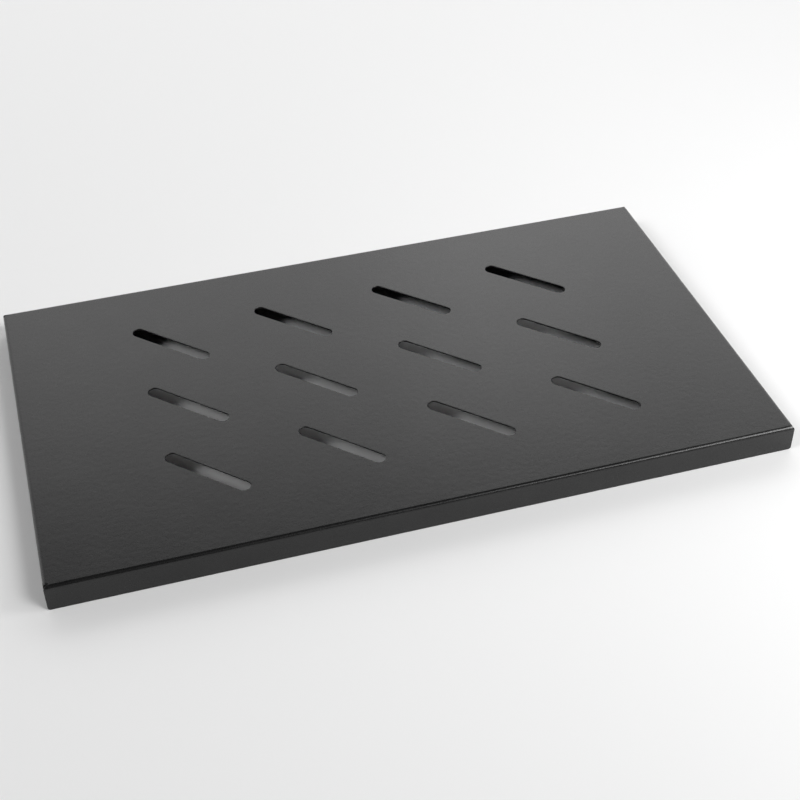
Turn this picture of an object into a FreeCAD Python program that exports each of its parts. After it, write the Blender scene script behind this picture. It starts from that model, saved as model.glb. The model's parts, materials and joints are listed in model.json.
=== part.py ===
"""Rack shelf for a 19-inch cabinet: one steel sheet folded down on all four sides.

Frame: +X to the right, +Y to the rear, +Z up, in millimetres. The origin lies midway
between the sides and between front and rear, level with the lower edge of the flanges.
"""

import FreeCAD, Part
import math
import os
import Sketcher

NODE = "shelf"

# Driving sizes, in millimetres, degrees and counts. Each one fills a cell of the sheet.
SIZES = [
    ("width", 485.0, "across the outer faces of the side flanges"),
    ("depth", 280.0, "across the outer faces of the front and rear flanges"),
    ("height", 19.0, "from the lower edge of the flanges to the top of the deck"),
    ("sheet", 1.2, "thickness of the steel"),
    ("bend_radius", 1.2, "inside radius of every fold"),
    ("relief_gap", 0.6, "width of the slit that parts two folds at a corner"),
    ("relief_reach", 0.8, "how far that slit runs past the folds into the deck"),
    ("corner_round", 2.0, "rounding of the free corners of the flanges"),
    ("shoulder_round", 2.4, "rounding of the front and rear flanges where their folds end"),
    ("slot_length", 64.0, "vent slot, from end to end"),
    ("slot_width", 9.0, "vent slot, across"),
    ("slot_angle", 45.0, "turn of the vent slots from the shelf's width"),
    ("slot_columns", 4, "vent slots side by side"),
    ("slot_rows", 3, "vent slots from front to rear"),
    ("column_pitch", 88.0, "from one column of vent slots to the next"),
    ("row_pitch", 69.0, "from one row of vent slots to the next"),
    ("screw_hole", 6.6, "clearance hole for an M6 screw in a side flange"),
    ("screw_spacing", 200.0, "between the two screw holes of one side flange"),
    ("screw_height", 9.0, "from the lower edge of a side flange to its screw holes"),
]

# Formulas on the sheet that several features share: the outside radius of a fold, and the
# length of a corner slit from the outer face of the side flange to the centre of its round end.
FOLD = "(Sizes.sheet + Sizes.bend_radius)"
RELIEF = "(Sizes.sheet + Sizes.bend_radius + Sizes.relief_reach)"

# How a sketch constraint names the points of a curve and the sketch's own origin and axes.
START = 1
END = 2
CENTRE = 3
FIRST_AXIS = -1
SECOND_AXIS = -2

QUARTER_TURN = math.pi / 2
NORMAL = FreeCAD.Vector(0, 0, 1)


def point(x, y):
    """A point of a sketch."""
    return FreeCAD.Vector(x, y, 0)


def fill_sheet(doc):
    """Put every driving size in a cell that carries its name."""
    sheet = doc.addObject("Spreadsheet::Sheet", "Sizes")
    for row, (alias, value, note) in enumerate(SIZES, start=1):
        sheet.set("A%d" % row, alias)
        sheet.set("B%d" % row, str(value))
        sheet.set("C%d" % row, note)
        sheet.setAlias("B%d" % row, alias)
    doc.recompute()


def datum(body, role):
    """A plane or an axis of the body's own origin."""
    return next(item for item in body.Origin.OriginFeatures if item.Role == role)


def sketch_on(body, name, plane, **offsets):
    """An empty sketch on an origin plane, moved and turned by formulas on the sheet."""
    sketch = body.newObject("Sketcher::SketchObject", name)
    sketch.AttachmentSupport = [(datum(body, plane), "")]
    sketch.MapMode = "FlatFace"
    paths = {"x": "Base.x", "y": "Base.y", "lift": "Base.z", "turn": "Rotation.Angle"}
    for key, formula in offsets.items():
        sketch.setExpression("AttachmentOffset." + paths[key], formula)
    return sketch


def rules(sketch, *constraints):
    """Constraints that hold whatever the sizes are."""
    for constraint in constraints:
        sketch.addConstraint(Sketcher.Constraint(*constraint))


def dimension(sketch, name, formula, *constraint):
    """A dimension that follows a formula on the sheet."""
    index = sketch.addConstraint(Sketcher.Constraint(*constraint))
    sketch.renameConstraint(index, name)
    sketch.setExpression("Constraints." + name, formula)


def draw_rectangle(sketch, across, along):
    """A rectangle centred on the sketch's origin, its two sizes given as formulas.

    It is drawn as a square of side 2, which the dimensions then stretch.
    """
    corners = [point(-1, -1), point(1, -1), point(1, 1), point(-1, 1)]
    for here, there in zip(corners, corners[1:] + corners[:1]):
        sketch.addGeometry(Part.LineSegment(here, there))
    front, right, rear, left = range(4)
    rules(
        sketch,
        ("Coincident", front, END, right, START),
        ("Coincident", right, END, rear, START),
        ("Coincident", rear, END, left, START),
        ("Coincident", left, END, front, START),
        ("Horizontal", front),
        ("Vertical", right),
        ("Horizontal", rear),
        ("Vertical", left),
        ("Symmetric", front, START, rear, START, FIRST_AXIS, START),
    )
    dimension(sketch, "across", across, "DistanceX", front, START, front, END, 2)
    dimension(sketch, "along", along, "DistanceY", right, START, right, END, 2)


def draw_stadium(sketch, reach, breadth):
    """A round-ended slot centred on the sketch's origin.

    The formulas give its reach, from end centre to end centre, and its breadth. It is drawn
    with a reach of 4 and a breadth of 2, which the dimensions then stretch.
    """
    right_end = Part.Circle(point(2, 0), NORMAL, 1)
    left_end = Part.Circle(point(-2, 0), NORMAL, 1)
    sketch.addGeometry(Part.LineSegment(point(-2, 1), point(2, 1)))
    sketch.addGeometry(Part.ArcOfCircle(right_end, -QUARTER_TURN, QUARTER_TURN))
    sketch.addGeometry(Part.LineSegment(point(2, -1), point(-2, -1)))
    sketch.addGeometry(Part.ArcOfCircle(left_end, QUARTER_TURN, 3 * QUARTER_TURN))
    rear, right, front, left = range(4)
    rules(
        sketch,
        ("Tangent", rear, END, right, END),
        ("Tangent", right, START, front, START),
        ("Tangent", front, END, left, END),
        ("Tangent", left, START, rear, START),
        ("Equal", right, left),
        ("Horizontal", rear),
        ("Symmetric", left, CENTRE, right, CENTRE, FIRST_AXIS, START),
    )
    dimension(sketch, "reach", reach, "DistanceX", left, CENTRE, right, CENTRE, 4)
    dimension(sketch, "end_radius", breadth + " / 2", "Radius", right, 1)


def draw_shoulder(sketch, radius):
    """What is cut off a square corner to round it, with the rounding's centre at the origin.

    The radius is a formula. The outline is drawn with a radius of 1 and runs past the corner by
    as much again, so that the cut is clear of the sheet's faces.
    """
    ring = Part.Circle(point(0, 0), NORMAL, 1)
    sketch.addGeometry(Part.LineSegment(point(1, 0), point(2, 0)))
    sketch.addGeometry(Part.LineSegment(point(2, 0), point(2, 2)))
    sketch.addGeometry(Part.LineSegment(point(2, 2), point(0, 2)))
    sketch.addGeometry(Part.LineSegment(point(0, 2), point(0, 1)))
    sketch.addGeometry(Part.ArcOfCircle(ring, 0, QUARTER_TURN))
    foot, side, top, drop, rounding = range(5)
    rules(
        sketch,
        ("Coincident", rounding, CENTRE, FIRST_AXIS, START),
        ("PointOnObject", rounding, START, FIRST_AXIS),
        ("PointOnObject", rounding, END, SECOND_AXIS),
        ("Coincident", rounding, START, foot, START),
        ("Coincident", foot, END, side, START),
        ("Coincident", side, END, top, START),
        ("Coincident", top, END, drop, START),
        ("Coincident", drop, END, rounding, END),
        ("Horizontal", foot),
        ("Vertical", side),
        ("Horizontal", top),
        ("Vertical", drop),
        ("Equal", side, top),
    )
    dimension(sketch, "radius", radius, "Radius", rounding, 1)
    dimension(sketch, "margin", radius, "DistanceX", foot, START, foot, END, 1)


def draw_flap_section(sketch, sizes, span, span_formula):
    """The fold and flange on the negative side of a sheet that spans the given size."""
    outer = -span / 2
    inner = outer + sizes.sheet
    fold = sizes.sheet + sizes.bend_radius
    level = sizes.height - fold
    hub = point(outer + fold, level)
    outer_round = Part.Circle(hub, NORMAL, fold)
    inner_round = Part.Circle(hub, NORMAL, sizes.bend_radius)
    top = point(hub.x, sizes.height)
    underside = point(hub.x, sizes.height - sizes.sheet)
    sketch.addGeometry(Part.LineSegment(point(outer, 0), point(outer, level)))
    sketch.addGeometry(Part.ArcOfCircle(outer_round, QUARTER_TURN, 2 * QUARTER_TURN))
    sketch.addGeometry(Part.LineSegment(top, underside))
    sketch.addGeometry(Part.ArcOfCircle(inner_round, QUARTER_TURN, 2 * QUARTER_TURN))
    sketch.addGeometry(Part.LineSegment(point(inner, level), point(inner, 0)))
    sketch.addGeometry(Part.LineSegment(point(inner, 0), point(outer, 0)))
    face, outer_arc, root, inner_arc, back, foot = range(6)
    rules(
        sketch,
        ("Tangent", face, END, outer_arc, END),
        ("Coincident", outer_arc, START, root, START),
        ("Coincident", root, END, inner_arc, START),
        ("Tangent", inner_arc, END, back, START),
        ("Coincident", back, END, foot, START),
        ("Coincident", foot, END, face, START),
        ("Vertical", face),
        ("Vertical", root),
        ("Vertical", back),
        ("Horizontal", foot),
        ("PointOnObject", face, START, FIRST_AXIS),
        ("Coincident", outer_arc, CENTRE, inner_arc, CENTRE),
        ("PointOnObject", outer_arc, CENTRE, root),
    )
    half_span = (face, START, FIRST_AXIS, START, span / 2)
    height = (FIRST_AXIS, START, outer_arc, START, sizes.height)
    thickness = (foot, END, foot, START, sizes.sheet)
    dimension(sketch, "half_span", span_formula + " / 2", "DistanceX", *half_span)
    dimension(sketch, "height", "Sizes.height", "DistanceY", *height)
    dimension(sketch, "thickness", "Sizes.sheet", "DistanceX", *thickness)
    dimension(sketch, "inside_radius", "Sizes.bend_radius", "Radius", inner_arc, sizes.bend_radius)


def feature(body, kind, name):
    """A new feature on top of what the body holds so far."""
    return body.newObject("PartDesign::" + kind, name)


def close(body, last):
    """Make a feature the body's result, and see that it worked."""
    body.Tip = last
    body.Document.recompute()
    if not last.isValid() or last.Shape.isNull() or not last.Shape.isValid():
        raise RuntimeError("feature failed: " + last.Name)


def must_cut(cut):
    """A cut that points away from the sheet removes nothing, so compare the volumes."""
    if cut.Shape.Volume >= cut.BaseFeature.Shape.Volume:
        raise RuntimeError("nothing was cut by " + cut.Name)


def add_deck(body):
    """The flat of the shelf, up to where the folds start."""
    sketch = sketch_on(body, "deck_outline", "XY_Plane", lift="Sizes.height - Sizes.sheet")
    draw_rectangle(sketch, "Sizes.width - 2 * " + FOLD, "Sizes.depth - 2 * " + FOLD)
    deck = feature(body, "Pad", "deck")
    deck.Profile = sketch
    deck.setExpression("Length", "Sizes.sheet")
    close(body, deck)


def add_flaps(body, name, section, span, span_formula, run_formula):
    """A fold and flange along one side of the deck, and its twin on the opposite side.

    The section lies in one origin plane, and the other upright plane mirrors it.
    """
    plane, mirror = section
    sketch = sketch_on(body, name + "_section", plane)
    draw_flap_section(sketch, body.Document.Sizes, span, span_formula)
    flap = feature(body, "Pad", name)
    flap.Profile = sketch
    flap.SideType = "Symmetric"
    flap.setExpression("Length", run_formula)
    close(body, flap)
    twin = feature(body, "Mirrored", name + "_twin")
    twin.Originals = [flap]
    twin.MirrorPlane = (datum(body, mirror), [""])
    close(body, twin)


def cut_through(body, name, sketch):
    """Cut a sketch on the deck's top face right down through the sheet."""
    cut = feature(body, "Pocket", name)
    cut.Profile = sketch
    cut.Type = "ThroughAll"
    close(body, cut)
    must_cut(cut)
    return cut


def repeat_at_corners(body, cut):
    """Repeat a cut made at one corner of the shelf at the other three."""
    sides = feature(body, "Mirrored", cut.Name + "_sides")
    sides.MirrorPlane = (datum(body, "YZ_Plane"), [""])
    ends = feature(body, "Mirrored", cut.Name + "_ends")
    ends.MirrorPlane = (datum(body, "XZ_Plane"), [""])
    corners = feature(body, "MultiTransform", cut.Name + "_corners")
    corners.Originals = [cut]
    corners.Transformations = [sides, ends]
    close(body, corners)


def cut_corner_reliefs(body):
    """The slits that let the side folds bend free of the front and rear folds."""
    sketch = sketch_on(
        body,
        "relief_outline",
        "XY_Plane",
        x="(Sizes.width - %s) / 2" % RELIEF,
        y="Sizes.depth / 2 - %s - Sizes.relief_gap / 2" % FOLD,
        lift="Sizes.height",
    )
    draw_stadium(sketch, RELIEF, "Sizes.relief_gap")
    slit = cut_through(body, "corner_relief", sketch)
    repeat_at_corners(body, slit)


def round_shoulders(body):
    """Round the upper ends of the front and rear flanges, as deep as their folds reach."""
    sketch = sketch_on(
        body,
        "shoulder_outline",
        "XZ_Plane",
        x="Sizes.width / 2 - Sizes.shoulder_round",
        y="Sizes.height - Sizes.shoulder_round",
        lift="Sizes.depth / 2",
    )
    draw_shoulder(sketch, "Sizes.shoulder_round")
    shoulder = feature(body, "Pocket", "shoulder")
    shoulder.Profile = sketch
    shoulder.setExpression("Length", FOLD)
    close(body, shoulder)
    must_cut(shoulder)
    repeat_at_corners(body, shoulder)


def cut_vent_slots(body):
    """The field of slanted slots, centred on the deck and laid out from its front left."""
    sketch = sketch_on(
        body,
        "slot_outline",
        "XY_Plane",
        x="(1 - Sizes.slot_columns) * Sizes.column_pitch / 2",
        y="(1 - Sizes.slot_rows) * Sizes.row_pitch / 2",
        lift="Sizes.height",
        turn="-Sizes.slot_angle",
    )
    draw_stadium(sketch, "Sizes.slot_length - Sizes.slot_width", "Sizes.slot_width")
    slot = cut_through(body, "vent_slot", sketch)
    field = feature(body, "LinearPattern", "vent_slots")
    field.Originals = [slot]
    field.Direction = (datum(body, "X_Axis"), [""])
    field.setExpression("Length", "(Sizes.slot_columns - 1) * Sizes.column_pitch")
    field.setExpression("Occurrences", "Sizes.slot_columns")
    field.Direction2 = (datum(body, "Y_Axis"), [""])
    field.setExpression("Length2", "(Sizes.slot_rows - 1) * Sizes.row_pitch")
    field.setExpression("Occurrences2", "Sizes.slot_rows")
    close(body, field)


def drill_side_flanges(body):
    """Two screw holes in each side flange, in line across the shelf."""
    sketch = sketch_on(body, "screw_holes", "YZ_Plane", y="Sizes.screw_height")
    front = sketch.addGeometry(Part.Circle(point(-1, 0), NORMAL, 1))
    rear = sketch.addGeometry(Part.Circle(point(1, 0), NORMAL, 1))
    rules(
        sketch,
        ("Equal", front, rear),
        ("Symmetric", front, CENTRE, rear, CENTRE, FIRST_AXIS, START),
        ("PointOnObject", rear, CENTRE, FIRST_AXIS),
    )
    dimension(sketch, "bore", "Sizes.screw_hole", "Diameter", front, 2)
    spacing = (front, CENTRE, rear, CENTRE, 2)
    dimension(sketch, "spacing", "Sizes.screw_spacing", "DistanceX", *spacing)
    holes = feature(body, "Pocket", "side_holes")
    holes.Profile = sketch
    holes.Type = "ThroughAll"
    holes.SideType = "Symmetric"
    close(body, holes)
    must_cut(holes)


def round_flange_corners(body):
    """Round the free corners of all four flanges, where the sheet's edge stands on the floor."""
    sizes = body.Document.Sizes
    base = body.Tip
    ends = []
    for number, edge in enumerate(base.Shape.Edges, start=1):
        on_floor = edge.BoundBox.ZMax < sizes.sheet / 2
        if on_floor and math.isclose(edge.Length, sizes.sheet, rel_tol=1e-6):
            ends.append("Edge%d" % number)
    rounding = feature(body, "Fillet", "flange_corners")
    rounding.Base = (base, ends)
    rounding.setExpression("Radius", "Sizes.corner_round")
    close(body, rounding)


def fold_shelf(doc):
    """The whole shelf, as one body."""
    sizes = doc.Sizes
    body = doc.addObject("PartDesign::Body", NODE)
    body.Label = NODE
    body.Placement = FreeCAD.Placement()
    add_deck(body)
    front_view = ("YZ_Plane", "XZ_Plane")
    add_flaps(body, "front_flange", front_view, sizes.depth, "Sizes.depth", "Sizes.width")
    side_view = ("XZ_Plane", "YZ_Plane")
    side_run = "Sizes.depth - 2 * " + FOLD
    add_flaps(body, "side_flange", side_view, sizes.width, "Sizes.width", side_run)
    cut_corner_reliefs(body)
    round_shoulders(body)
    cut_vent_slots(body)
    drill_side_flanges(body)
    round_flange_corners(body)
    return body


def check(doc, body):
    """Stop before anything is written if an object failed or the shelf is not one solid."""
    for item in doc.Objects:
        if "Invalid" in item.State or "Error" in item.State:
            raise RuntimeError("object failed: " + item.Name)
    shape = body.Shape
    if shape.isNull() or not shape.isValid():
        raise RuntimeError("the shelf has no valid shape")
    if len(shape.Solids) != 1:
        raise RuntimeError("the shelf is not one solid")


def main():
    doc = FreeCAD.newDocument("rack_shelf")
    fill_sheet(doc)
    body = fold_shelf(doc)
    doc.recompute()
    check(doc, body)
    os.makedirs("parts", exist_ok=True)
    body.Shape.exportStep("parts/%s.step" % body.Label)
    box = body.Shape.BoundBox
    print("%s: %.2f x %.2f x %.2f mm" % (body.Label, box.XLength, box.YLength, box.ZLength))
    print("volume %.1f mm3, %d faces" % (body.Shape.Volume, len(body.Shape.Faces)))


main()
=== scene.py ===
# %% [markdown]
# # A rack shelf: one folded sheet and its powder coat
#
# The object is a shallow shelf for a 19-inch cabinet. A factory cuts it from one flat sheet of
# steel, folds a flange down along each side and coats the whole in black powder. The packed
# model gives its size and place, and this lesson rebuilds the sheet with smooth folds and
# softly coated edges, then gives it its finish, a floor, some light and a camera.

import json
import math

import bmesh
import bpy
from mathutils import Matrix, Vector


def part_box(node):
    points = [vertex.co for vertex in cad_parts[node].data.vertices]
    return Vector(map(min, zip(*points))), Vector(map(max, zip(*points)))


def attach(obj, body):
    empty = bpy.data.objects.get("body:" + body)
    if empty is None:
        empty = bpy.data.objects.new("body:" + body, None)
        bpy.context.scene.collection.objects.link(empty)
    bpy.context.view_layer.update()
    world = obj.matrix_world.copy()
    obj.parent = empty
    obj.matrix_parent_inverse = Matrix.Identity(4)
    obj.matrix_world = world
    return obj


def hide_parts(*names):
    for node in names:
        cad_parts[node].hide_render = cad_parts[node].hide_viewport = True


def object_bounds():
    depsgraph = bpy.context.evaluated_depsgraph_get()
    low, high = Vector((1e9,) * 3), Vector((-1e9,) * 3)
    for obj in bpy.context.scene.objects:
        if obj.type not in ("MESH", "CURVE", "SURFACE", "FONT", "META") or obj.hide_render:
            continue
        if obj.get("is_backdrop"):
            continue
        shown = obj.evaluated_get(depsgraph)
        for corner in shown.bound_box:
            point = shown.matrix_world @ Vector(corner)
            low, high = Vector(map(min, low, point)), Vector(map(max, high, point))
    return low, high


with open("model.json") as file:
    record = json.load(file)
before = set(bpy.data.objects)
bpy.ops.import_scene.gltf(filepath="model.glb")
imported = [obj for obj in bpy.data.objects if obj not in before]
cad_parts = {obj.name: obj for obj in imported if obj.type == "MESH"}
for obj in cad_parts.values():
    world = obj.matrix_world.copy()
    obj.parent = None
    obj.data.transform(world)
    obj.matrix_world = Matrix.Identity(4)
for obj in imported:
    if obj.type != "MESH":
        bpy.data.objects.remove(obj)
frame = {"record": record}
cad_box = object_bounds()
low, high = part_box("shelf")
print("shelf reaches from", tuple(low), "to", tuple(high))

# %% [markdown]
# ## Sizes of the sheet
#
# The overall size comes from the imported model, so nothing has to be fitted. What is left to
# choose is how thick the sheet is and how tightly it is folded. A press brake can fold thin steel
# to an inside radius as small as the sheet is thick, and the outside radius is then twice that.

# %% Sheet sizes in metres
HALF_WIDTH = high.x
HALF_DEPTH = high.y
HEIGHT = high.z
SHEET = 0.0012
FOLD = 2 * SHEET         # outside radius of a fold
UP = Vector((0, 0, 1))
QUARTER = math.pi / 2    # a right angle
print("sheet", SHEET, "thick, folded round", FOLD, "to a height of", round(HEIGHT, 4))

# %% [markdown]
# ## The edge of the deck
#
# The deck is the flat of the shelf, up to the lines where the folds begin. At each corner a short
# slit with a round end runs in, which lets two folds meet without tearing the steel. The edge
# could be typed in as a list of points. Here the spin operator swings one vertex round a centre
# and leaves an arc behind it, so every round stretch is a true arc. A wider arc round each slit is
# bridged to it, and that band of small even faces keeps the corner clean.

# %% Draw the edge of the deck
RELIEF_GAP = 0.0006      # slit between two folds at a corner
RELIEF_REACH = 0.0008    # how far the slit runs into the deck past the fold
RIM = 0.0012             # width of the band of even faces round a hole or slit
SLIT_STEPS = 4

sheet = bmesh.new()
side_line = HALF_WIDTH - FOLD
front_line = HALF_DEPTH - FOLD
slit_end = side_line - RELIEF_REACH
slit_radius = RELIEF_GAP / 2
band_reach = RELIEF_REACH + slit_radius + RIM


def deck_point(x, y):
    """A point on top of the deck."""
    return Vector((x, y, HEIGHT))


def swing(bm, start, centre, axis, angle, steps):
    """Swing a new vertex round a centre; gives back the arc's vertices in order."""
    first = bm.verts.new(start)
    known = len(bm.verts)
    bmesh.ops.spin(bm, geom=[first], cent=centre, axis=axis, angle=angle, steps=steps)
    bm.verts.ensure_lookup_table()
    return [first] + bm.verts[known:]


def thread(bm, chain, closed=False):
    """Edges through a chain of vertices; those that are missing are made."""
    following = chain[1:] + chain[:1] if closed else chain[1:]
    pairs = list(zip(chain, following))
    return [bm.edges.get(pair) or bm.edges.new(pair) for pair in pairs]


def deck_corner(x_sign, y_sign):
    """A corner's slit and the arc round its band, both from the long fold to the side fold."""
    turn = x_sign * y_sign
    long_fold = y_sign * front_line
    middle = deck_point(x_sign * slit_end, long_fold - y_sign * slit_radius)
    start = deck_point(x_sign * slit_end, long_fold)
    slit = swing(sheet, start, middle, UP, turn * math.pi, SLIT_STEPS)
    slit.append(sheet.verts.new(deck_point(x_sign * side_line, long_fold - y_sign * RELIEF_GAP)))
    tip = deck_point(x_sign * side_line, long_fold)
    start = deck_point(x_sign * (side_line - band_reach), long_fold)
    arc = swing(sheet, start, tip, UP, turn * QUARTER, SLIT_STEPS + 1)
    bmesh.ops.bridge_loops(sheet, edges=thread(sheet, slit) + thread(sheet, arc))
    return slit, arc


front_right_slit, front_right_arc = deck_corner(1, -1)
rear_right_slit, rear_right_arc = deck_corner(1, 1)
rear_left_slit, rear_left_arc = deck_corner(-1, 1)
front_left_slit, front_left_arc = deck_corner(-1, -1)
right_half = front_right_arc + rear_right_arc[::-1]
left_half = rear_left_arc + front_left_arc[::-1]
outline = thread(sheet, right_half + left_half, closed=True)
print("edge of the deck:", len(outline), "edges")

# %% [markdown]
# ## Slanted slots
#
# Twelve slots let warm air rise through the shelf. They slant at 45 degrees, in a field of four
# columns and three rows about the middle. Boolean cuts could make them, but drawing each loop
# first, with a narrow band of even faces round it, gives round ends that keep their shape when
# the edges are rounded later. The rest of the deck is filled with triangles between the bands and
# its edge, and joined into a few large flat faces, because thin triangles would cramp the bevel.

# %% Draw the slots and fill the deck
SLOT_LENGTH = 0.064
SLOT_WIDTH = 0.009
SLOT_TURN = math.radians(-45)
SLOT_COLUMNS = 4
SLOT_ROWS = 3
COLUMN_PITCH = 0.088
ROW_PITCH = 0.069
SLOT_STEPS = 14
FLAT_ANGLE = math.radians(1)    # faces that differ by less are joined


def stadium(bm, centre, along, reach, radius):
    """A closed loop of edges: two straight sides joined by half circles."""
    across = UP.cross(along)
    near_end = centre + along * reach / 2
    far_end = centre - along * reach / 2
    one = swing(bm, near_end - across * radius, near_end, UP, math.pi, SLOT_STEPS)
    other = swing(bm, far_end + across * radius, far_end, UP, math.pi, SLOT_STEPS)
    return thread(bm, one + other, closed=True)


def band(bm, inner, outer):
    """Even faces between a hole's edge and a slightly larger loop, whose edges come back."""
    bmesh.ops.bridge_loops(bm, edges=inner + outer)
    return outer


def fill(bm, edges, holes, normal):
    """Close a flat outline with a few large faces, leaving its holes open."""
    every_edge = edges + [edge for hole in holes for edge in hole]
    made = bmesh.ops.triangle_fill(bm, use_beauty=True, edges=every_edge, normal=normal)["geom"]
    inside = [part for part in made if isinstance(part, bmesh.types.BMEdge)]
    bmesh.ops.dissolve_limit(bm, angle_limit=FLAT_ANGLE, verts=[], edges=inside)


slant = Vector((math.cos(SLOT_TURN), math.sin(SLOT_TURN), 0))
slot_reach = SLOT_LENGTH - SLOT_WIDTH
slot_rims = []
for column in range(SLOT_COLUMNS):
    for row in range(SLOT_ROWS):
        x = (column - (SLOT_COLUMNS - 1) / 2) * COLUMN_PITCH
        y = (row - (SLOT_ROWS - 1) / 2) * ROW_PITCH
        inner = stadium(sheet, deck_point(x, y), slant, slot_reach, SLOT_WIDTH / 2)
        outer = stadium(sheet, deck_point(x, y), slant, slot_reach, SLOT_WIDTH / 2 + RIM)
        slot_rims.append(band(sheet, inner, outer))
fill(sheet, outline, slot_rims, UP)
print("deck:", len(sheet.faces), "faces round", len(slot_rims), "slots")

# %% [markdown]
# ## The front and rear flanges
#
# A press brake bends the sheet round a straight line. The spin operator does the same to a chain
# of edges: it swings the chain through a right angle and leaves the curved skin of the fold behind
# it. The flange then hangs from the last edges as a flat plate with two rounded corners. These
# two flanges run the full width, so their folds start a little outside the deck.

# %% Fold the front and rear flanges
FOLD_STEPS = 8
FLANGE_CORNER = 0.0020   # rounding of a flange's free corner
CORNER_STEPS = 6


def fold_down(bm, chain, centre, axis, angle):
    """Swing a chain of edges round a fold line; gives back the last chain, in order."""
    edges = thread(bm, chain)
    made = bmesh.ops.spin(bm, geom=edges, cent=centre, axis=axis, angle=angle, steps=FOLD_STEPS)
    last = [part for part in made["geom_last"] if isinstance(part, bmesh.types.BMVert)]
    run = (chain[-1].co - chain[0].co).normalized()
    return sorted(last, key=lambda vert: vert.co.dot(run))


def hang_flange(bm, top, normal, holes):
    """A flat plate with rounded lower corners, below the last edges of a fold."""
    run = (top[-1].co - top[0].co).normalized()
    turn = UP.cross(run)
    inset = run * FLANGE_CORNER
    lift = UP * FLANGE_CORNER
    after = Vector((top[-1].co.x, top[-1].co.y, 0))
    before = Vector((top[0].co.x, top[0].co.y, 0))
    right = swing(bm, after + lift, after - inset + lift, turn, QUARTER, CORNER_STEPS)
    left = swing(bm, before + inset, before + inset + lift, turn, QUARTER, CORNER_STEPS)
    edges = thread(bm, top + right + left, closed=True)
    fill(bm, edges, holes, normal)


front_chain = [front_left_slit[0], front_left_arc[0], front_right_arc[0], front_right_slit[0]]
rear_chain = [rear_left_slit[0], rear_left_arc[0], rear_right_arc[0], rear_right_slit[0]]
for sign, middle_chain in ((-1, front_chain), (1, rear_chain)):
    tabs = [sheet.verts.new(deck_point(x, sign * front_line)) for x in (-HALF_WIDTH, HALF_WIDTH)]
    centre = Vector((0, sign * front_line, HEIGHT - FOLD))
    chain = [tabs[0], *middle_chain, tabs[1]]
    lip = fold_down(sheet, chain, centre, Vector((1, 0, 0)), -sign * QUARTER)
    hang_flange(sheet, lip, Vector((0, sign, 0)), [])
print("deck with two flanges:", len(sheet.faces), "faces")

# %% [markdown]
# ## Rounded shoulders
#
# A square end would stand out beside the corner slit as a sharp tab, so the blank is cut with a
# rounded shoulder there. A bevel of the corner would stop at the fold's first row of faces. The
# fold's end is a column of vertices on the shelf's outermost line, and each of them is pulled in
# by as much as a circle asks for at its height.

# %% Round the shoulders
SHOULDER = 0.0024        # rounding of the front and rear flanges where their folds end
SAME_PLACE = 1e-6        # vertices nearer than this count as one

pulled_in = 0
for vert in sheet.verts:
    rise = vert.co.z - (HEIGHT - SHOULDER)
    if rise > 0 and math.isclose(abs(vert.co.x), HALF_WIDTH, abs_tol=SAME_PLACE):
        reach = math.sqrt(max(SHOULDER ** 2 - rise ** 2, 0))
        vert.co.x = math.copysign(HALF_WIDTH - SHOULDER + reach, vert.co.x)
        pulled_in += 1
print("shoulders:", pulled_in, "vertices pulled in")

# %% [markdown]
# ## The side flanges and their screw holes
#
# The side flanges fit between the other two and are folded in the same way. Each has two round
# holes for the screws that hold the shelf in its cabinet. Their place, spacing and radius are
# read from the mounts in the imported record, so that no size is kept twice. As with the slots, a
# band of even faces round each hole keeps its edge clean.

# %% Fold the side flanges
HOLE_SEGMENTS = 32
MM = 0.001               # one millimetre, in metres


def circle(bm, centre, normal, radius):
    """A closed round loop of edges that faces along a normal."""
    turn = normal.to_track_quat("Z", "Y").to_matrix().to_4x4()
    place = Matrix.Translation(centre) @ turn
    made = bmesh.ops.create_circle(bm, segments=HOLE_SEGMENTS, radius=radius, matrix=place)
    return thread(bm, made["verts"], closed=True)


def screw_holes(bm, mount):
    """The holes of one side flange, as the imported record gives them."""
    normal = Vector(mount["axis"])
    step = Vector((0, mount["dims"]["spacing_x_mm"] * MM, 0))
    radius = mount["dims"]["hole_r_mm"] * MM
    middle = Vector(mount["pos_m"])
    rims = []
    for centre in (middle - step / 2, middle + step / 2):
        inner = circle(bm, centre, normal, radius)
        outer = circle(bm, centre, normal, radius + RIM)
        rims.append(band(bm, inner, outer))
    return rims


right_chain = [front_right_slit[-1], front_right_arc[-1], rear_right_arc[-1], rear_right_slit[-1]]
left_chain = [front_left_slit[-1], front_left_arc[-1], rear_left_arc[-1], rear_left_slit[-1]]
screw_mounts = [m for m in frame["record"]["mounts"] if m["kind"] == "bolt_pattern"]
for mount in screw_mounts:
    sign = mount["axis"][0]
    chain = right_chain if sign > 0 else left_chain
    centre = Vector((sign * side_line, 0, HEIGHT - FOLD))
    lip = fold_down(sheet, chain, centre, Vector((0, 1, 0)), sign * QUARTER)
    hang_flange(sheet, lip, Vector((sign, 0, 0)), screw_holes(sheet, mount))
print("whole skin:", len(sheet.faces), "faces, screw holes from", [m["name"] for m in screw_mounts])

# %% [markdown]
# ## Thickness and coated edges
#
# So far the sheet is a skin. Solidify gives it the thickness of the steel, growing inwards so
# that the outside keeps its size. Powder coat flows a little round every cut edge, so the square
# edges are bevelled by a quarter of a millimetre. A bevel of two steps is enough at that size. The
# round ends of the slits are left out: they are so small that they would hold back every bevel.

# %% Give the sheet its thickness and round its edges
COAT_ROUND = 0.00025     # how far the coat rounds an edge of the sheet
COAT_STEPS = 2           # rows of faces round such an edge
SQUARE = math.radians(40)    # how far from a right angle a cut edge may be


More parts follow.
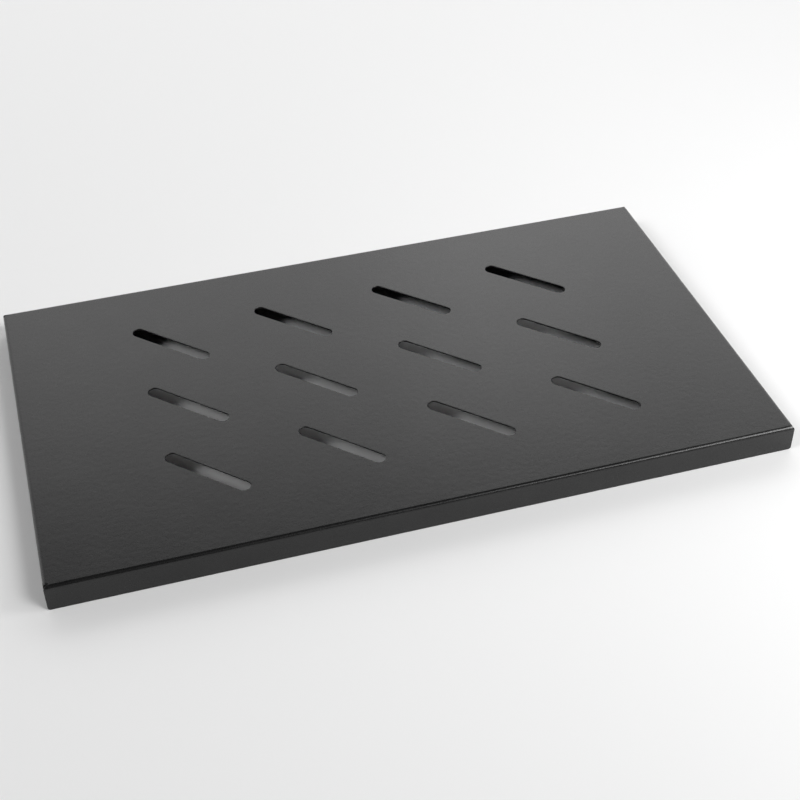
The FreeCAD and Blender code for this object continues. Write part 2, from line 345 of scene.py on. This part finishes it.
def cut_edge(edge):
    """Whether an edge is a square cut edge, other than those of a slit's tiny round end."""
    middle = (edge.verts[0].co + edge.verts[1].co) / 2
    in_slit = slit_end - RIM < abs(middle.x) < slit_end and abs(middle.y) > front_line - RIM
    return abs(edge.calc_face_angle(0) - QUARTER) < SQUARE and not in_slit


bmesh.ops.remove_doubles(sheet, verts=sheet.verts, dist=SAME_PLACE)
bmesh.ops.recalc_face_normals(sheet, faces=sheet.faces)
deck_face = max(sheet.faces, key=lambda face: face.calc_area())
if deck_face.normal.z < 0:
    bmesh.ops.reverse_faces(sheet, faces=sheet.faces)
bmesh.ops.solidify(sheet, geom=sheet.faces[:], thickness=SHEET)
sharp = [edge for edge in sheet.edges if cut_edge(edge)]
bmesh.ops.bevel(
    sheet,
    geom=sharp,
    offset=COAT_ROUND,
    offset_type="OFFSET",
    segments=COAT_STEPS,
    profile=0.5,
    affect="EDGES",
    clamp_overlap=True,
    material=-1,
)
sheet.normal_update()
print("thick sheet:", len(sheet.faces), "faces,", len(sharp), "edges rounded")

# %% [markdown]
# ## The finished piece
#
# Real sheet is flat between its folds, and a reflection shows it. If every face were shaded
# smooth, the light would drift across the deck, so faces that lie square to an axis stay flat,
# and only the folds and rounded edges are smooth. The mesh then becomes one object that rides on
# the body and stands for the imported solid.

# %% Shade the sheet and put it in place
FLAT_LIMIT = 0.9999      # how squarely a flat face lies to an axis, where 1 is exact

for face in sheet.faces:
    face.smooth = max(abs(c) for c in face.normal) < FLAT_LIMIT
mesh = bpy.data.meshes.new("folded_shelf")
sheet.to_mesh(mesh)
sheet.free()
shelf = bpy.data.objects.new("folded_shelf", mesh)
bpy.context.scene.collection.objects.link(shelf)
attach(shelf, "root")
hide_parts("shelf")
smooth_faces = sum(face.use_smooth for face in mesh.polygons)
print("folded_shelf:", len(mesh.polygons), "faces,", smooth_faces, "of them smooth")

# %% [markdown]
# ## The powder coat: its relief
#
# Black powder melts into a skin that is never quite even: a grain finer than a millimetre, and a
# slow swell of a few millimetres, like the peel of an orange. A painted picture of it would not
# follow the folds, so both waves are noise in the object's own space. Added up, they are the
# height of one bump. It is a few hundredths of a millimetre, and shows best where a fold catches
# the light.

# %% Relief of the coat
GRAIN_PER_METRE = 1300
GRAIN_DETAIL = 2         # finer waves laid over the first
PEEL_PER_METRE = 260
PEEL_DETAIL = 1
PEEL_SHARE = 1.7         # height of the peel, where the grain is 1
COAT_RELIEF = 0.000024   # height of the grain, in metres

coat = bpy.data.materials.new("powder_coat")
coat.use_nodes = True
coat_nodes = coat.node_tree.nodes
coat_links = coat.node_tree.links
principled = coat_nodes["Principled BSDF"]
place = coat_nodes.new("ShaderNodeTexCoord")


def noise(label, per_metre, detail):
    """A noise of a given fineness in the object's own space."""
    node = coat_nodes.new("ShaderNodeTexNoise")
    node.label = label
    node.inputs["Scale"].default_value = per_metre
    node.inputs["Detail"].default_value = detail
    coat_links.new(place.outputs["Object"], node.inputs["Vector"])
    return node.outputs["Fac"]


grain = noise("grain", GRAIN_PER_METRE, GRAIN_DETAIL)
peel = noise("orange peel", PEEL_PER_METRE, PEEL_DETAIL)
relief = coat_nodes.new("ShaderNodeMath")
relief.operation = "MULTIPLY_ADD"    # the peel times its share, plus the grain
relief.inputs[1].default_value = PEEL_SHARE
coat_links.new(peel, relief.inputs[0])
coat_links.new(grain, relief.inputs[2])
bump = coat_nodes.new("ShaderNodeBump")
bump.inputs["Distance"].default_value = COAT_RELIEF
coat_links.new(relief.outputs["Value"], bump.inputs["Height"])
coat_links.new(bump.outputs["Normal"], principled.inputs["Normal"])
print("relief of the coat:", len(coat_nodes), "nodes")

# %% [markdown]
# ## The powder coat: its black and its sheen
#
# The black itself gives back less than a hundredth of the light. What the eye sees is a broad, soft
# sheen, which comes from the shader and the lights and not from a lighter colour. A slow noise
# mixes two blacks, because no coat is laid down quite evenly, and the grain spreads the roughness
# a little on both sides of a satin finish. The index of refraction is that of a resin.

# %% Black and sheen of the coat
TONE_PER_METRE = 40
TONE_DETAIL = 3
DEEP_BLACK = (0.0050, 0.0050, 0.0051, 1)
SOFT_BLACK = (0.0085, 0.0085, 0.0086, 1)
SATIN = (0.26, 0.31)     # roughness of the smoothest and the roughest places
RESIN_IOR = 1.5
NOISE_MIDDLE = (0.3, 0.7)    # where most values of a noise lie


def spread(value, low_end, high_end):
    """Stretch the middle of a noise over a range of values."""
    node = coat_nodes.new("ShaderNodeMapRange")
    node.inputs["From Min"].default_value = NOISE_MIDDLE[0]
    node.inputs["From Max"].default_value = NOISE_MIDDLE[1]
    node.inputs["To Min"].default_value = low_end
    node.inputs["To Max"].default_value = high_end
    coat_links.new(value, node.inputs["Value"])
    return node.outputs["Result"]


patches = noise("tone", TONE_PER_METRE, TONE_DETAIL)
black = coat_nodes.new("ShaderNodeMix")
black.data_type = "RGBA"
black.inputs["A"].default_value = DEEP_BLACK
black.inputs["B"].default_value = SOFT_BLACK
coat_links.new(spread(patches, 0, 1), black.inputs["Factor"])
coat_links.new(black.outputs["Result"], principled.inputs["Base Color"])
coat_links.new(spread(grain, *SATIN), principled.inputs["Roughness"])
principled.inputs["IOR"].default_value = RESIN_IOR
mesh.materials.append(coat)
print("powder_coat:", len(coat_nodes), "nodes in all")

# %% [markdown]
# ## The floor
#
# The shelf lies on a plain pale surface, as in a catalogue picture. One large square is enough,
# so large that its far edge lies close to the horizon, where the backdrop takes over. It is a
# little satin instead of dead matt. The black flanges mirror the floor that lies just in front of
# them, so the floor's tone is also what lifts them out of the dark.

# %% Lay the floor
FLOOR_REACH = 30.0       # metres from the middle to each side
FLOOR_WHITE = (0.86, 0.86, 0.86, 1)
FLOOR_ROUGHNESS = 0.5

floor_mesh = bpy.data.meshes.new("floor")
floor_shape = bmesh.new()
bmesh.ops.create_grid(floor_shape, x_segments=1, y_segments=1, size=FLOOR_REACH)
floor_shape.to_mesh(floor_mesh)
floor_shape.free()
floor = bpy.data.objects.new("floor", floor_mesh)
bpy.context.scene.collection.objects.link(floor)
floor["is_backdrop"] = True
pale = bpy.data.materials.new("pale_floor")
pale.use_nodes = True
floor_shader = pale.node_tree.nodes["Principled BSDF"]
floor_shader.inputs["Base Color"].default_value = FLOOR_WHITE
floor_shader.inputs["Roughness"].default_value = FLOOR_ROUGHNESS
floor_mesh.materials.append(pale)
print("floor:", 2 * FLOOR_REACH, "metres wide")

# %% [markdown]
# ## The white backdrop
#
# A black coat shows its surroundings more than its own colour, so they matter as much as the
# lamps. Behind the shelf stands a white wall, which gives the deck its grey sheen. Overhead and
# in front it is dark, and that draws the dark line along the front fold. A picture of a room
# could do this, but three soft steps on the direction of sight do it without a file. All round
# the horizon a low pale band meets the far floor in about its own tone.

# %% White wall and horizon
WALL_START = (-0.10, 0.35)    # dark in front, white behind
WALL_TOP = (0.78, 0.50)       # dark overhead, white below
HORIZON_TOP = (0.16, 0.05)    # the pale band just over the floor
HORIZON_TONE = 0.7            # tone of that band, where white is 1
BACKDROP_STRENGTH = 1.0       # at which white renders as white

world = bpy.data.worlds.new("studio")
bpy.context.scene.world = world
world.use_nodes = True
sky_nodes = world.node_tree.nodes
sky_links = world.node_tree.links
ambient = sky_nodes["Background"]
sight = sky_nodes.new("ShaderNodeTexCoord")
direction = sky_nodes.new("ShaderNodeSeparateXYZ")
sky_links.new(sight.outputs["Generated"], direction.inputs["Vector"])


def ramp(axis, dark_at, pale_at, tone=1.0):
    """A soft step from dark to white, or to a greyer tone, along one axis of the direction."""
    node = sky_nodes.new("ShaderNodeMapRange")
    node.interpolation_type = "SMOOTHSTEP"
    node.inputs["From Min"].default_value = dark_at
    node.inputs["From Max"].default_value = pale_at
    node.inputs["To Max"].default_value = tone
    sky_links.new(direction.outputs[axis], node.inputs["Value"])
    return node.outputs["Result"]


def combine(operation, one, other):
    """Two ramps multiplied, or the larger of the two."""
    node = sky_nodes.new("ShaderNodeMath")
    node.operation = operation
    sky_links.new(one, node.inputs[0])
    sky_links.new(other, node.inputs[1])
    return node.outputs["Value"]


wall = combine("MULTIPLY", ramp("Y", *WALL_START), ramp("Z", *WALL_TOP))
horizon = ramp("Z", *HORIZON_TOP, tone=HORIZON_TONE)
sky_links.new(combine("MAXIMUM", wall, horizon), ambient.inputs["Color"])
ambient.inputs["Strength"].default_value = BACKDROP_STRENGTH
print("backdrop:", len(sky_nodes), "nodes")

# %% [markdown]
# ## Two far lamps
#
# A plain studio needs an even light first. A lamp close by makes a bright pool on the floor, and
# a lamp far off doesn't, so two sun lamps with a wide angle light the whole scene. One stands on
# the left. The other stands in front on the right, where the rounded front fold catches it and
# carries it as a thin bright line that fades towards the left.

# %% Hang the far lamps
FAR = 3.0                # where a sun lamp is drawn; its light is the same from any distance


def outward(heading, elevation):
    """The direction of a lamp. Its heading turns from the rear towards the right."""
    turn = math.radians(heading)
    lift = math.radians(elevation)
    level = math.cos(lift)
    return Vector((math.sin(turn) * level, math.cos(turn) * level, math.sin(lift)))


def hang(data, away, distance):
    """A lamp out along a direction, facing the shelf."""
    lamp = bpy.data.objects.new(data.name, data)
    bpy.context.scene.collection.objects.link(lamp)
    facing = away.to_track_quat("Z", "Y").to_matrix().to_4x4()
    lamp.matrix_world = Matrix.Translation(away * distance) @ facing
    return lamp


def far_lamp(name, heading, elevation, softness, strength):
    """A soft lamp so far off that it lights the whole floor evenly."""
    data = bpy.data.lights.new(name, "SUN")
    data.angle = math.radians(softness)
    data.energy = strength
    return hang(data, outward(heading, elevation), FAR)


far_lamps = [
    far_lamp("left_lamp", heading=-97, elevation=42, softness=20, strength=1.0),
    far_lamp("front_lamp", heading=136, elevation=40, softness=25, strength=1.55),
]
print("far lamps:", [lamp.name for lamp in far_lamps])

# %% [markdown]
# ## Boxes of light
#
# The rest is shaping. Wide panels behind the shelf strengthen the white wall where the deck
# mirrors it, more on the right than on the left. A small box near the right-hand corner brightens
# that end of the front flange, and a small lamp behind throws a clear patch of light through the
# slots. Area lamps suit this best, because their size and distance can be set like real ones.

# %% Hang the boxes
def softbox(name, heading, elevation, distance, size, watts):
    """A flat box of light, of a given width and height."""
    data = bpy.data.lights.new(name, "AREA")
    data.shape = "RECTANGLE"
    data.size, data.size_y = size
    data.energy = watts
    return hang(data, outward(heading, elevation), distance)


boxes_of_light = [
    softbox("right_box", heading=115, elevation=35, distance=0.9, size=(0.3, 0.3), watts=2.8),
    softbox("rear_panel", heading=12, elevation=30, distance=1.8, size=(2.4, 1.0), watts=4.2),
    softbox("rear_high_panel", heading=8, elevation=40, distance=1.8, size=(1.2, 0.6), watts=1.1),
    softbox("rear_right_panel", heading=42, elevation=30, distance=1.8, size=(1.2, 1.0), watts=2.1),
    softbox("rear_lamp", heading=18, elevation=32, distance=4.0, size=(0.2, 0.2), watts=0.6),
]
print("boxes:", {lamp.name: round(lamp.data.energy, 2) for lamp in boxes_of_light})

# %% [markdown]
# ## The camera
#
# The shelf is seen from the front left and from above, near enough for its sides to draw together
# towards the back. The camera's place, aim, tilt and lens were found by laying the model's corners
# and slots over those of the real shelf. It is aimed with a quaternion that tracks a point on the
# deck, and then tilted about its own line of sight.

# %% Set up the camera
CAMERA_PLACE = Vector((-0.2015, -0.7618, 0.6491))
CAMERA_AIM = Vector((0.0044, -0.0376, HEIGHT))
CAMERA_ROLL = math.radians(-0.86)
CAMERA_LENS = 66.1       # focal length in millimetres

camera_data = bpy.data.cameras.new("camera")
camera_data.lens = CAMERA_LENS
camera = bpy.data.objects.new("camera", camera_data)
bpy.context.scene.collection.objects.link(camera)
sight_line = CAMERA_AIM - CAMERA_PLACE
look = sight_line.to_track_quat("-Z", "Y").to_matrix()
roll = Matrix.Rotation(CAMERA_ROLL, 3, "Z")
camera.matrix_world = Matrix.Translation(CAMERA_PLACE) @ (look @ roll).to_4x4()
bpy.context.scene.camera = camera
bpy.context.scene.view_settings.view_transform = "Standard"
print("camera:", round(sight_line.length, 3), "metres from the shelf")

# %% [markdown]
# ## Sizes
#
# The dressed shelf has to be as large as the imported one. The two boxes are compared corner by
# corner, and the largest difference between them is printed, so that a difference shows at once.

# %% Compare the sizes
visual_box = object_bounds()
pairs = zip(cad_box, visual_box)
difference = max(abs(c - v) for cad, visual in pairs for c, v in zip(cad, visual))
print("largest difference between the two boxes, in metres:", difference)
